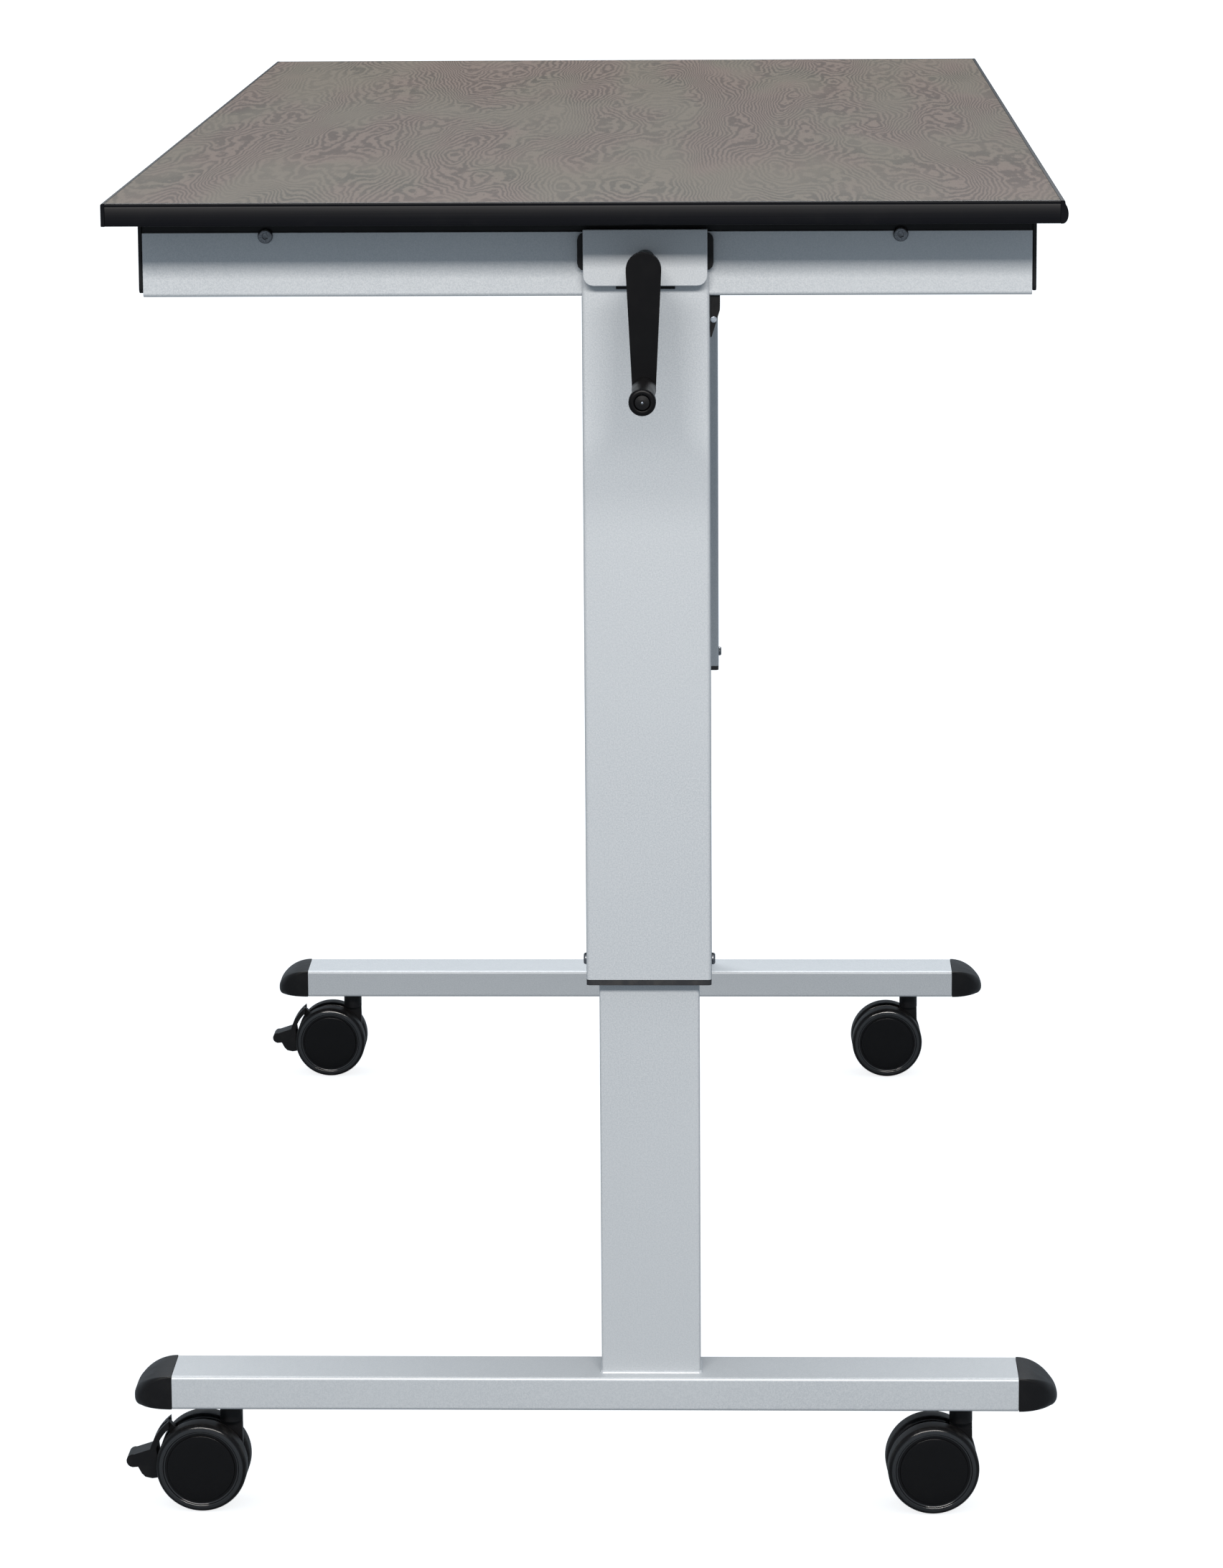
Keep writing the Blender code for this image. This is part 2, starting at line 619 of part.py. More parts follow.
def build_foot(side, leg_x):
    height = FOOT_TOP - FOOT_BOTTOM
    outer = rounded_rectangle(FOOT_DEPTH, height, FOOT_CORNER)
    inner_size = (FOOT_DEPTH - 2 * STEEL_WALL, height - 2 * STEEL_WALL)
    inner = rounded_rectangle(*inner_size, FOOT_CORNER - STEEL_WALL)
    middle = (leg_x, DESK_Y, FOOT_BOTTOM + height / 2)
    foot = place("foot_" + side, tube(outer, inner, FOOT_LENGTH), silver_paint(), middle, ALONG_Y)
    for sign in ENDS.values():
        hole = (leg_x, DESK_Y + sign * CASTER_OFFSET, FOOT_BOTTOM)
        cut(foot, cylinder(STEM_RADIUS + GAP, 0.01, 16), hole)

    for end_name, sign in ENDS.items():
        name = "foot_cap_" + side + "_" + end_name
        location = (leg_x, DESK_Y + sign * FOOT_LENGTH / 2, FOOT_BOTTOM)
        place(name, foot_cap(sign, CAP_FULLNESS[end_name]), black_plastic(), location)


def foot_cap(sign, fullness):
    """Rounded nose: its top falls as a quarter ellipse while its sides close in."""
    height = FOOT_TOP - FOOT_BOTTOM
    shoulder = 0.006
    sections = 12
    rings = []
    for i in range(sections + 1):
        along = min(math.sin(math.radians(90 * i / sections)), 0.999)
        half_width = FOOT_DEPTH / 2 * (1 - along ** fullness) ** (1 / fullness)
        top = shoulder + (height - shoulder) * math.sqrt(1 - along ** 2)
        nose = max(0.0, (along * FOOT_CAP - FOOT_CAP + shoulder) / shoulder)
        bottom = shoulder * (1 - math.sqrt(1 - nose ** 2))
        corner = min(0.0015 + 0.010 * along ** 2, 0.45 * (top - bottom), 0.9 * half_width)
        section = rounded_rectangle(2 * half_width, top - bottom, corner, 4)
        y = sign * max(GAP, along * FOOT_CAP)
        rings.append([(x, y, z + (top + bottom) / 2) for x, z in section])
    return loft(rings)


# ---------------------------------------------------------------- casters

def web_outline():
    """Plate between the wheels, in the caster's YZ plane, with the stem's axis at Y = 0."""
    axle = (-CASTER_TRAIL, WHEEL_RADIUS)
    rear_angle = math.degrees(math.acos((CASTER_TRAIL + NECK_RADIUS) / WEB_RADIUS))
    front_angle = math.degrees(math.acos((CASTER_TRAIL - NECK_RADIUS) / WEB_RADIUS))
    neck = NECK_BOTTOM + 0.004
    outline = [(NECK_RADIUS - 0.0005, neck)]
    outline += arc(axle, WEB_RADIUS, rear_angle, -60, 6)
    outline += arc(axle, WEB_RADIUS, -150, -360 + front_angle, 12)
    outline.append((-NECK_RADIUS + 0.0005, neck))
    return outline


def lever_outline():
    """Brake lever about the axle: a strap round the wheel, a tab and a pad."""
    outer = WHEEL_RADIUS + 0.0075
    inner = WHEEL_RADIUS + 0.0028
    tip = 0.0056
    outline = arc((0, 0), outer, 128, 165, 8)
    outline += arc((-LEVER_REACH + tip, 0.0016), tip, 80, 265, 8)
    outline += [(-0.0538, -0.0036), (-0.0508, -0.0092), (-0.0478, -0.0122), (-0.0420, -0.0134)]
    outline += arc((0, 0), WHEEL_RADIUS + 0.0008, 199, 170, 6)
    outline += arc((0, 0), inner, 162, 133, 6)
    return outline


def build_stem(name, parent):
    collar_low = NECK_TOP + GAP
    collar_high = FOOT_BOTTOM - GAP
    collar_height = collar_high - collar_low
    middle = (0, 0, (collar_low + collar_high) / 2)
    collar = cylinder(COLLAR_RADIUS, collar_height, 6)
    flat_forward = (0, 0, math.radians(30))
    stem = place("caster_stem_" + name, collar, zinc_steel(), middle, flat_forward, parent)
    low = NECK_TOP - 0.010
    high = FOOT_BOTTOM + 0.018
    pin = cylinder(STEM_RADIUS, high - low, 16)
    join(stem, pin, (0, 0, (low + high) / 2))


def build_fork(name, parent, braked):
    """Swivelling body: a neck round the stem's pin and a web between the wheels."""
    plastic = black_plastic()
    web = prism(web_outline(), WEB_THICKNESS)
    fork = place("caster_body_" + name, web, plastic, (0, 0, 0), ALONG_X, parent)
    chamfer = 0.0012
    neck = [(NECK_RADIUS, NECK_BOTTOM), (NECK_RADIUS, NECK_TOP - chamfer), (NECK_RADIUS - chamfer, NECK_TOP)]
    join(fork, turned(neck, 20), (0, 0, 0))
    if braked:
        across, up = polar(1.0, PIVOT_ANGLE)
        square = (-up * 0.0032, across * 0.0032)
        inner = (across * (WEB_RADIUS - 0.004), up * (WEB_RADIUS - 0.004))
        outer = (across * PIVOT_RADIUS, up * PIVOT_RADIUS)
        ear = [(inner[0] - square[0], inner[1] - square[1])]
        ear += arc(outer, 0.0032, PIVOT_ANGLE - 90, PIVOT_ANGLE + 90, 8)
        ear.append((inner[0] + square[0], inner[1] + square[1]))
        join(fork, prism(ear, WEB_THICKNESS - 0.0004), (0, -CASTER_TRAIL, WHEEL_RADIUS), ALONG_X)
        pivot = (0, outer[0] - CASTER_TRAIL, outer[1] + WHEEL_RADIUS)
        cut(fork, cylinder(0.0015 + GAP, 0.02, 12), pivot, ALONG_X)
    cut(fork, cylinder(STEM_RADIUS + GAP, 0.024, 16), (0, 0, NECK_TOP))
    cut(fork, cylinder(AXLE_RADIUS + GAP, 0.02, 16), (0, -CASTER_TRAIL, WHEEL_RADIUS), ALONG_X)


def build_wheels(name, parent):
    """Both wheels and their axle, turning as one about local Z."""
    rim = WHEEL_RADIUS
    face = WHEEL_OUTER
    half = [(AXLE_RADIUS, WHEEL_INNER), (rim - 0.004, WHEEL_INNER), (rim - 0.001, WHEEL_INNER + 0.002)]
    half += [(rim, WHEEL_INNER + 0.006), (rim, face - 0.0065), (rim - 0.0010, face - 0.0033)]
    half += [(rim - 0.0030, face - 0.0010), (rim - 0.0048, face)]
    half += [(rim - 0.0056, face - 0.0010), (rim - 0.0088, face - 0.0012), (rim - 0.0092, face - 0.0006)]
    other = [(radius, -along) for radius, along in half]
    wheels = turned(other[::-1] + half, 36)
    axle = (0, -CASTER_TRAIL, WHEEL_RADIUS)
    place("caster_wheels_" + name, wheels, glossy_black_plastic(), axle, ALONG_X, parent)


def build_brake_lever(name, parent):
    """Forked lever on the ear of the caster's body, with its pivot pin."""
    across, up = polar(PIVOT_RADIUS, PIVOT_ANGLE)
    pivot = (0, across - CASTER_TRAIL, up + WHEEL_RADIUS)
    lever = prism(shifted(lever_outline(), -across, -up), LEVER_WIDTH)
    lever = place("brake_lever_" + name, lever, black_plastic(), pivot, ALONG_X, parent)
    slot = box(WEB_THICKNESS + 0.001, 0.024, 0.013)
    cut(lever, slot, (0, pivot[1] + 0.004, pivot[2]), (math.radians(PIVOT_ANGLE - 90), 0, 0))
    join(lever, cylinder(0.0015, LEVER_WIDTH - 0.004, 12), pivot, ALONG_X)


def build_casters():
    for (side, end_name), heading in CASTERS.items():
        name = side + "_" + end_name
        leg_x = DESK_X + SIDES[side] * LEG_SPREAD
        stem_y = DESK_Y + ENDS[end_name] * CASTER_OFFSET
        swivel = place_empty("swivel_" + name, (leg_x, stem_y, 0), heading)
        braked = end_name == "front"
        build_stem(name, swivel)
        build_fork(name, swivel, braked)
        build_wheels(name, swivel)
        if braked:
            build_brake_lever(name, swivel)


# ---------------------------------------------------------------- assembly

def build_desk():
    clear_scene()
    build_tabletop()
    build_rails()
    for side, sign in SIDES.items():
        leg_x = DESK_X + sign * LEG_SPREAD
        build_arm(side, leg_x)
        build_gusset(side, leg_x)
        build_outer_tube(side, leg_x)
        build_glide_collar(side, leg_x)
        build_inner_tube(side, leg_x)
        build_screw_nut(side, leg_x)
        build_lead_screw(side, leg_x)
        build_gears(side, leg_x)
        build_bearing(side, leg_x, sign)
        build_head_cover(side, leg_x, sign)
        build_foot(side, leg_x)
    build_shaft()
    build_crank(DESK_X + LEG_SPREAD)
    build_casters()


build_desk()
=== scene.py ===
"""Looks of the height adjustable standing desk: materials, small hardware, light and camera,
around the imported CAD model. Metres, +Z up, the crank at +X, the user at -Y."""

import json
import math

import bmesh
import bpy
from mathutils import Matrix, Vector


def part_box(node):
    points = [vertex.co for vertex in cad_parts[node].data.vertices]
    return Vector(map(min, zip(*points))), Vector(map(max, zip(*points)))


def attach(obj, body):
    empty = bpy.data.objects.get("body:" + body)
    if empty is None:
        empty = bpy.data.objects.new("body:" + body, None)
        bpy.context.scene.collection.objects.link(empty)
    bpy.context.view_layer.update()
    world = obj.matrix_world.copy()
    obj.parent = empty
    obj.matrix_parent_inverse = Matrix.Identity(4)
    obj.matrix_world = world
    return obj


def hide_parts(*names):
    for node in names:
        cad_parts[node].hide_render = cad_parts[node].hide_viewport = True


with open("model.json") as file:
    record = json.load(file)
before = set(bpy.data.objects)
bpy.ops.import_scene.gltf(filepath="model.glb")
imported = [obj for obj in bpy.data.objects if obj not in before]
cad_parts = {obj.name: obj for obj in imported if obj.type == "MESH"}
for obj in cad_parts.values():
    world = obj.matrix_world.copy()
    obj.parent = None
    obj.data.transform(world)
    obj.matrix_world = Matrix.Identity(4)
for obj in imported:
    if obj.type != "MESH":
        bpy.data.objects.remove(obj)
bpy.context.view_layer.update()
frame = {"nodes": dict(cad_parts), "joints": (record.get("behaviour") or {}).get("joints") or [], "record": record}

# ---------------------------------------------------------------- where things are

SIDES = {"crank": 1, "far": -1}
ENDS = {"front": -1, "rear": 1}

ARM_SCREW_Y = {"front": -0.2533, "rear": 0.2474}        # from the tabletop's middle
ARM_SCREW_DROP = 0.0026         # below the arm's top edge
ARM_SCREW_RADIUS = 0.0060
ARM_SCREW_HEIGHT = 0.0030
TUBE_SCREW_RISE = 0.0115        # above the mouth of the outer tube
TUBE_SCREW_RADIUS = 0.0048
TUBE_SCREW_HEIGHT = 0.0029
GRIP_SCREW_RADIUS = 0.0010
GRIP_SCREW_HEIGHT = 0.0009
GRIP_SCREW_SUNK = 0.0004        # its seat lies this far inside the end of the grip bolt
GUSSET_BOLT_INSET = 0.0028      # from the gusset's front edge
GUSSET_BOLT_DROP = 0.0190       # below its top
GUSSET_BOLT_RADIUS = 0.0020
GUSSET_BOLT_HEIGHT = 0.0018

WELD_CORNER = 0.002             # corner radius of the path round an inner tube's foot
WELD_STEP = 0.0016              # least distance between sections on a bead's straight stretches
WELD_SIZE = 0.0017
WELD_RIPPLE = 0.00018
# outline of a bead, out from the tube and up from the foot, as shares of its size
WELD_SECTION = ((-0.4, 0.0), (1.0, 0.0), (0.82, 0.38), (0.42, 0.78), (0.0, 1.0), (-0.4, 1.0))

FOOT_CAP_FULLNESS = {"front": 3.2, "rear": 2.2}         # plan shape of the noses: 2 is an ellipse
FOOT_CAP_SHOULDER = 0.006       # height of the tip, and radius of the rounding below it
WHEEL_RADIUS = 0.0375
WHEEL_INNER = 0.0042            # from the caster's middle to a wheel's inner face
WHEEL_OUTER = 0.0232            # and to its outer face

CAMERA_PLACE = (4.5979, 0.1222, 1.4802)         # from the floor under the tabletop's middle
CAMERA_YAW = -0.0265            # radians, from looking along -X
CAMERA_PITCH = 0.1704           # radians, downwards
CAMERA_ROLL = -0.0063
CAMERA_LENS = 114.76            # mm on a sensor 36 mm high
CAMERA_SHIFT = -0.15

KEY_ELEVATION = 31.0            # degrees
KEY_DISTANCE = 4.8
KEY_SIZE = (4.0, 0.74)          # along Y, and across
KEY_POWER = 332.0
KEY_COLOUR = (1.05, 1.00, 0.955)
TOP_ELEVATION = 78.0
TOP_DISTANCE = 3.6
TOP_SIZE = (3.0, 1.2)
TOP_POWER = 26.0
BACK_ELEVATION = 138.0          # past upright: it stands beyond the far end
BACK_DISTANCE = 3.6
BACK_SIZE = (3.0, 1.2)
BACK_POWER = 165.0
FILL_COLOUR = (1.0, 1.0, 1.0)
WORLD_STRENGTH = 0.48
WORLD_COLOUR = (0.86, 0.97, 1.08)
FLOOR_GLOW = 0.80               # seen, but falls on nothing except the floor
FLOOR_REACH = 60.0

DESK_MIDDLE = (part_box("edge_band_front")[0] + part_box("edge_band_rear")[1]) / 2


# ---------------------------------------------------------------- node graphs

class Graph:
    """Short names for the nodes of one material."""

    def __init__(self, name):
        self.material = bpy.data.materials.new(name)
        self.material.use_nodes = True
        self.tree = self.material.node_tree
        self.shader = self.tree.nodes["Principled BSDF"]
        self.place = self.tree.nodes.new("ShaderNodeTexCoord").outputs["Object"]

    def put(self, socket, value):
        if isinstance(value, bpy.types.NodeSocket):
            self.tree.links.new(value, socket)
        elif socket.type == "RGBA" and len(value) == 3:
            socket.default_value = (*value, 1.0)
        else:
            socket.default_value = value

    def set(self, **values):
        for name, value in values.items():
            self.put(self.shader.inputs[name.replace("_", " ")], value)

    def math(self, operation, a, b=0.0, c=0.0):
        node = self.tree.nodes.new("ShaderNodeMath")
        node.operation = operation
        for socket, value in zip(node.inputs, (a, b, c)):
            self.put(socket, value)
        return node.outputs[0]

    def stretch(self, scale):
        node = self.tree.nodes.new("ShaderNodeVectorMath")
        node.operation = "MULTIPLY"
        self.put(node.inputs[0], self.place)
        self.put(node.inputs[1], scale)
        return node.outputs[0]

    def parts(self):
        node = self.tree.nodes.new("ShaderNodeSeparateXYZ")
        self.put(node.inputs[0], self.place)
        return node.outputs

    def noise(self, scale, detail=2.0, roughness=0.5, vector=None):
        node = self.tree.nodes.new("ShaderNodeTexNoise")
        self.put(node.inputs["Vector"], vector or self.place)
        self.put(node.inputs["Scale"], scale)
        self.put(node.inputs["Detail"], detail)
        self.put(node.inputs["Roughness"], roughness)
        return node.outputs[0]

    def span(self, value, low, high, to_low=0.0, to_high=1.0):
        """The value's stretch from low to high, mapped to another stretch and clamped."""
        node = self.tree.nodes.new("ShaderNodeMapRange")
        node.interpolation_type = "SMOOTHSTEP"
        for socket, number in zip(node.inputs, (value, low, high, to_low, to_high)):
            self.put(socket, number)
        return node.outputs[0]

    def blend(self, share, first, second):
        node = self.tree.nodes.new("ShaderNodeMix")
        node.data_type = "RGBA"
        self.put(node.inputs[0], share)
        self.put(node.inputs[6], first)
        self.put(node.inputs[7], second)
        return node.outputs[2]

    def bump(self, height, distance, strength=1.0, under=None):
        node = self.tree.nodes.new("ShaderNodeBump")
        self.put(node.inputs["Height"], height)
        self.put(node.inputs["Distance"], distance)
        self.put(node.inputs["Strength"], strength)
        if under is not None:
            self.put(node.inputs["Normal"], under)
        return node.outputs[0]


# ---------------------------------------------------------------- materials

def silver_powder_coat():
    """Fine-textured silver-grey powder coat: dimpled like orange peel, with metallic specks."""
    g = Graph("silver_powder_coat")
    broad = g.noise(3.5, 3.0)
    grain = g.noise(900.0, 2.0, 0.6)
    specks = g.noise(2600.0, 1.0, 0.7)
    base = g.blend(g.span(broad, 0.35, 0.65), (0.390, 0.416, 0.440), (0.415, 0.441, 0.464))
    grained = g.blend(g.span(grain, 0.35, 0.65), base, (0.458, 0.482, 0.502))
    speckled = g.blend(g.span(specks, 0.60, 0.72, 0.0, 0.5), grained, (0.62, 0.63, 0.64))
    peel = g.bump(g.noise(420.0, 2.0, 0.55), 0.00012, 0.5)
    texture = g.bump(grain, 0.00005, 0.6, peel)
    rough = g.span(grain, 0.3, 0.7, 0.40, 0.50)
    g.set(Base_Color=speckled, Roughness=rough, Metallic=0.22, Normal=texture)
    return g.material


def wood_laminate():
    """Grey-brown laminate whose printed figure runs along the desk, with cathedral islands."""
    g = Graph("wood_laminate")
    figure = g.noise(1.0, 2.2, 0.48, g.stretch((1.5, 10.0, 1.0)))
    wobble = g.noise(1.0, 2.0, 0.5, g.stretch((14.0, 42.0, 1.0)))
    feather = g.noise(1.0, 3.0, 0.6, g.stretch((60.0, 300.0, 1.0)))
    across = g.math("MULTIPLY", g.parts()[1], 115.0)
    rings = g.math("MULTIPLY_ADD", figure, 44.0, across)
    rings = g.math("MULTIPLY_ADD", wobble, 3.0, rings)
    rings = g.math("MULTIPLY_ADD", feather, 0.9, rings)
    wave = g.math("SINE", g.math("MULTIPLY", rings, 2 * math.pi))
    contrast = g.span(g.noise(1.0, 2.0, 0.5, g.stretch((3.0, 12.0, 1.0))), 0.32, 0.62, 0.35, 1.0)
    late = g.math("MULTIPLY", g.span(wave, -0.80, 0.80), contrast)
    warm = g.span(g.noise(1.0, 2.0, 0.5, g.stretch((2.5, 12.0, 1.0))), 0.38, 0.62)
    pale = g.blend(warm, (0.098, 0.085, 0.069), (0.106, 0.083, 0.071))
    deep = g.blend(warm, (0.052, 0.047, 0.039), (0.060, 0.047, 0.041))
    wood = g.blend(late, pale, deep)
    fibre = g.noise(1.0, 4.0, 0.7, g.stretch((22.0, 1500.0, 1.0)))
    wood = g.blend(g.span(fibre, 0.50, 0.72, 0.0, 0.30), wood, (0.045, 0.039, 0.034))
    height = g.math("MULTIPLY_ADD", late, -0.4, fibre)
    sheen = g.span(g.noise(1.4, 2.0), 0.35, 0.65, 0.46, 0.54)
    g.set(Base_Color=wood, Roughness=sheen, Specular_IOR_Level=0.03)
    g.set(Normal=g.bump(height, 0.00006, 0.5))
    return g.material


def black_edging():
    """Extruded PVC edging: satin black with faint lines along its length."""
    g = Graph("black_edging")
    lines = g.noise(1.0, 3.0, 0.6, g.stretch((3.0, 3.0, 1500.0)))
    dust = g.noise(45.0, 4.0, 0.65)
    paler = g.span(dust, 0.50, 0.80, 0.0, 0.35)
    colour = g.blend(paler, (0.0022, 0.0024, 0.0036), (0.0060, 0.0060, 0.0066))
    rough = g.span(lines, 0.3, 0.7, 0.34, 0.44)
    g.set(Base_Color=colour, Roughness=rough, Specular_IOR_Level=0.10)
    g.set(Normal=g.bump(lines, 0.00004, 0.35))
    return g.material


def black_moulded_plastic():
    """Moulded black plastic with a fine spark-eroded grain."""
    g = Graph("black_moulded_plastic")
    grain = g.noise(1300.0, 2.0, 0.6)
    dust = g.noise(70.0, 4.0, 0.65)
    paler = g.span(dust, 0.48, 0.80, 0.0, 0.40)
    colour = g.blend(paler, (0.0034, 0.0033, 0.0038), (0.0095, 0.0092, 0.0092))
    rough = g.span(dust, 0.3, 0.7, 0.36, 0.46)
    g.set(Base_Color=colour, Roughness=rough, Specular_IOR_Level=0.22)
    g.set(Normal=g.bump(grain, 0.00005, 0.5))
    return g.material


def crank_plastic():
    """Black crank: satin, with a soft sheen worn into it by hands."""
    g = Graph("crank_plastic")
    grain = g.noise(1100.0, 2.0, 0.6)
    worn = g.noise(38.0, 3.0, 0.6)
    paler = g.span(worn, 0.45, 0.75, 0.0, 0.5)
    colour = g.blend(paler, (0.0014, 0.0013, 0.0017), (0.0045, 0.0044, 0.0044))
    rough = g.span(worn, 0.35, 0.65, 0.42, 0.32)
    g.set(Base_Color=colour, Roughness=rough, Specular_IOR_Level=0.14)
    g.set(Normal=g.bump(grain, 0.00004, 0.5))
    return g.material


def wheel_plastic():
    """Semi-gloss black wheel: the tread is duller and dusty, the lip round the face glossier."""
    g = Graph("wheel_plastic")
    across, up = g.parts()[:2]
    radius = g.math("SQRT", g.math("MULTIPLY_ADD", across, across, g.math("MULTIPLY", up, up)))
    tread = g.span(radius, 0.0360, 0.0372)
    inside = g.span(radius, 0.0296, 0.0304)
    lip = g.math("MULTIPLY", inside, g.span(radius, 0.0340, 0.0352, 1.0, 0.0))
    scuffs = g.noise(160.0, 4.0, 0.7)
    dust = g.math("MULTIPLY", tread, g.span(scuffs, 0.40, 0.70, 0.15, 1.0))
    colour = g.blend(dust, (0.0026, 0.0025, 0.0028), (0.015, 0.014, 0.0135))
    rough = g.math("MULTIPLY_ADD", tread, 0.26, g.span(scuffs, 0.35, 0.70, 0.17, 0.25))
    g.set(Base_Color=colour, Roughness=g.math("MULTIPLY_ADD", lip, -0.07, rough))
    g.set(Specular_IOR_Level=g.math("MULTIPLY_ADD", lip, 0.75, 0.20))
    g.set(Normal=g.bump(g.noise(700.0, 3.0, 0.6), 0.00003, 0.35))
    return g.material


def zinc_plate():
    """Bright zinc plate, faintly blue, with a soft crystalline mottle."""
    g = Graph("zinc_plate")
    mottle = g.noise(260.0, 3.0, 0.6)
    colour = g.blend(g.span(mottle, 0.35, 0.65), (0.55, 0.60, 0.66), (0.72, 0.74, 0.76))
    rough = g.span(mottle, 0.3, 0.7, 0.22, 0.36)
    g.set(Base_Color=colour, Roughness=rough, Metallic=1.0)
    g.set(Normal=g.bump(mottle, 0.00004, 0.5))
    return g.material


def dark_zinc():
    """Dark passivated zinc of the frame's screws."""
    g = Graph("dark_zinc")
    mottle = g.noise(700.0, 3.0, 0.6)
    colour = g.blend(g.span(mottle, 0.35, 0.65), (0.120, 0.128, 0.140), (0.205, 0.212, 0.225))
    g.set(Base_Color=colour, Roughness=g.span(mottle, 0.3, 0.7, 0.26, 0.40), Metallic=1.0)
    g.set(Normal=g.bump(mottle, 0.00004, 0.5))
    return g.material


def machined_steel():
    """Oiled machined steel with fine cutting marks."""
    g = Graph("machined_steel")
    marks = g.noise(1.0, 3.0, 0.6, g.stretch((2400.0, 400.0, 2400.0)))
    oil = g.noise(60.0, 3.0, 0.6)
    colour = g.blend(g.span(oil, 0.4, 0.7), (0.42, 0.42, 0.43), (0.30, 0.28, 0.25))
    g.set(Base_Color=colour, Roughness=g.span(oil, 0.3, 0.7, 0.38, 0.24), Metallic=1.0)
    g.set(Normal=g.bump(marks, 0.00003, 0.5))
    return g.material


def dull_nylon():
    """Black nylon: matt, faintly mottled, polished where it slides."""
    g = Graph("dull_nylon")
    mottle = g.noise(120.0, 3.0, 0.6)
    colour = g.blend(g.span(mottle, 0.4, 0.7), (0.010, 0.010, 0.012), (0.020, 0.019, 0.019))
    g.set(Base_Color=colour, Roughness=g.span(mottle, 0.3, 0.7, 0.50, 0.62))
    g.set(Normal=g.bump(g.noise(900.0, 2.0, 0.6), 0.00004, 0.4))
    return g.material


SILVER = silver_powder_coat()
WOOD = wood_laminate()
EDGING = black_edging()
BLACK = black_moulded_plastic()
CRANK = crank_plastic()
WHEEL = wheel_plastic()
ZINC = zinc_plate()
DARK_ZINC = dark_zinc()
STEEL = machined_steel()
NYLON = dull_nylon()

NODE_MATERIALS = (
    ("tabletop_board", WOOD),
    ("edge_band", EDGING),
    ("arm_strip", BLACK), ("arm_cap", BLACK), ("gusset", BLACK), ("shaft_bearing", BLACK),
    ("crank_bush", BLACK), ("foot_cap", BLACK), ("caster_body", BLACK), ("brake_lever", BLACK),
    ("crank_arm", CRANK), ("crank_grip", CRANK), ("grip_bolt", BLACK),
    ("caster_wheels", WHEEL),
    ("caster_stem", ZINC),
    ("lead_screw", STEEL), ("screw_gear", STEEL), ("shaft_gear", STEEL), ("drive_shaft", STEEL),
    ("glide_collar", NYLON), ("screw_nut", NYLON),
    ("arm_", SILVER), ("rail_", SILVER), ("outer_tube", SILVER), ("inner_tube", SILVER),
    ("head_cover", SILVER), ("foot_", SILVER),
)


def material_of(node):
    for start, material in NODE_MATERIALS:
        if node.startswith(start):
            return material
    raise ValueError(node)


# ---------------------------------------------------------------- pieces

BODIES = frame["record"]["behaviour"]["bodies"]
BODY_OF = {node: body for body, nodes in BODIES.items() for node in nodes}


def add_piece(name, mesh, material, body, matrix=None, replaces=None, sharp=35.0):
    """An object from a mesh, smooth but for its sharp edges, riding on a body."""
    mesh.name = name
    mesh.materials.clear()
    mesh.materials.append(material)
    mesh.shade_smooth()
    mesh.set_sharp_from_angle(angle=math.radians(sharp))
    piece = bpy.data.objects.new(name, mesh)
    bpy.context.scene.collection.objects.link(piece)
    if matrix is not None:
        piece.matrix_world = matrix
    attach(piece, body)
    if replaces:
        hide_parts(replaces)
    return piece


def apply_modifiers(piece):
    """The piece's mesh becomes what its modifiers make of it."""
    bpy.context.view_layer.update()
    graph = bpy.context.evaluated_depsgraph_get()
    evaluated = piece.evaluated_get(graph)
    mesh = bpy.data.meshes.new_from_object(evaluated, preserve_all_data_layers=True, depsgraph=graph)
    piece.modifiers.clear()
    piece.data = mesh


def soften(node, width, segments=3):
    """A copy of a CAD node with its sharp edges rounded off, which then stands for the node."""
    mesh = frame["nodes"][node].data.copy()
    imported = mesh.attributes.get("custom_normal")
    if imported:
        mesh.attributes.remove(imported)
    work = bmesh.new()
    work.from_mesh(mesh)
    bmesh.ops.remove_doubles(work, verts=work.verts, dist=1e-6)
    bmesh.ops.dissolve_limit(work, angle_limit=math.radians(0.6), verts=work.verts, edges=work.edges)
    work.to_mesh(mesh)
    work.free()
    piece = add_piece(node + "_finished", mesh, material_of(node), BODY_OF[node],
                      replaces=node)
    bevel = piece.modifiers.new("round", "BEVEL")
    bevel.width = width
    bevel.segments = segments
    bevel.limit_method = "ANGLE"
    bevel.angle_limit = math.radians(40)
    bevel.use_clamp_overlap = True
    bevel.harden_normals = False
    normals = piece.modifiers.new("normals", "WEIGHTED_NORMAL")
    normals.keep_sharp = False
    normals.weight = 60
    apply_modifiers(piece)
    return piece


def loft_mesh(rings, closed=False):
    """Mesh through rings of equally many points, capped at both ends or closed into a loop."""
    mesh = bpy.data.meshes.new("loft")
    work = bmesh.new()
    loops = [[work.verts.new(point) for point in ring] for ring in rings]
    pairs = list(zip(loops, loops[1:]))
    if closed:
        pairs.append((loops[-1], loops[0]))
    else:
        work.faces.new(loops[0])
        work.faces.new(loops[-1])
    for lower, upper in pairs:
        count = len(lower)
        for i in range(count):
            j = (i + 1) % count
            work.faces.new((lower[i], lower[j], upper[j], upper[i]))
    bmesh.ops.recalc_face_normals(work, faces=work.faces)
    work.to_mesh(mesh)
    work.free()
    return mesh


def circle(radius, height, steps):
    turns = [2 * math.pi * i / steps for i in range(steps)]
    return [(radius * math.cos(a), radius * math.sin(a), height) for a in turns]


